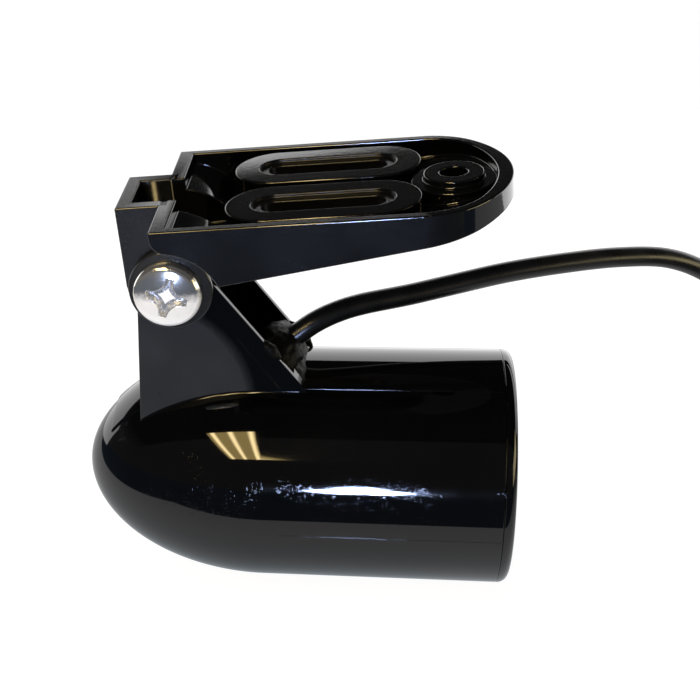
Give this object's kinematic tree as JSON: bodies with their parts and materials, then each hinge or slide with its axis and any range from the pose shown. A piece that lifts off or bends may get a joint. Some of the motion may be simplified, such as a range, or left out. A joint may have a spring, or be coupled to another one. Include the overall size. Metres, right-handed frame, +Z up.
{
  "type": "transom mount sonar transducer",
  "caption": "Bullet-shaped sonar transducer pod on a hollow stem that pivots on a slotted transom bracket, with its cable coiled beside it.",
  "frame": {"origin": "mouth of the bracket's round screw hole, in the rim plane that meets the transom", "axes": "+X along the pod from nose to tail, +Y along the pivot screw from head to nut, +Z up as the part is folded over its pod"},
  "size_m": [0.2615, 0.1062, 0.1014],
  "materials": {
    "bracket_plastic": "moulded, satin outside and glossy inside the tray",
    "pod_plastic": "polished moulding with fine scratches",
    "potting_resin": "cast",
    "piezo_ceramic": "silvered ceramic",
    "cork": "pressed cork",
    "soft_rubber": "moulded",
    "red_wire": "insulated",
    "bare_wire": "bare copper",
    "stainless": "polished stainless steel",
    "washer_plastic": "glossy",
    "nylon": "moulded",
    "sealant": "rough cured bead",
    "cable_jacket": "extruded satin",
    "tie_plastic": "moulded",
    "plug_plastic": "moulded",
    "insert_plastic": "moulded",
    "gold_pin": "plated"
  },
  "bodies": {
    "bracket": {"bracket": "bracket_plastic"},
    "pod": {"pod_housing": "pod_plastic", "tail_cap": "pod_plastic", "potting": "potting_resin", "piezo_disc": "piezo_ceramic", "backing_pad": "cork", "isolation_ring": "soft_rubber", "signal_lead": "red_wire", "ground_lead": "bare_wire", "pivot_screw": "stainless", "head_washer": "washer_plastic", "nut_washer": "washer_plastic", "lock_nut": "stainless", "nut_insert": "nylon", "cable_seal": "sealant", "cable_run": "cable_jacket", "cable_coil": "cable_jacket", "coil_ties": "tie_plastic", "cable_tail": "cable_jacket", "plug_boot": "soft_rubber", "plug_body": "plug_plastic", "plug_collar": "plug_plastic", "plug_insert": "insert_plastic", "plug_pins": "gold_pin"}
  },
  "joints": [
    {"name": "pivot", "type": "hinge", "parent": "bracket", "child": "pod", "pos_m": [-0.05942, 0, -0.02348], "axis": [0, 1, 0], "range_deg": [-15, 95]}
  ]
}
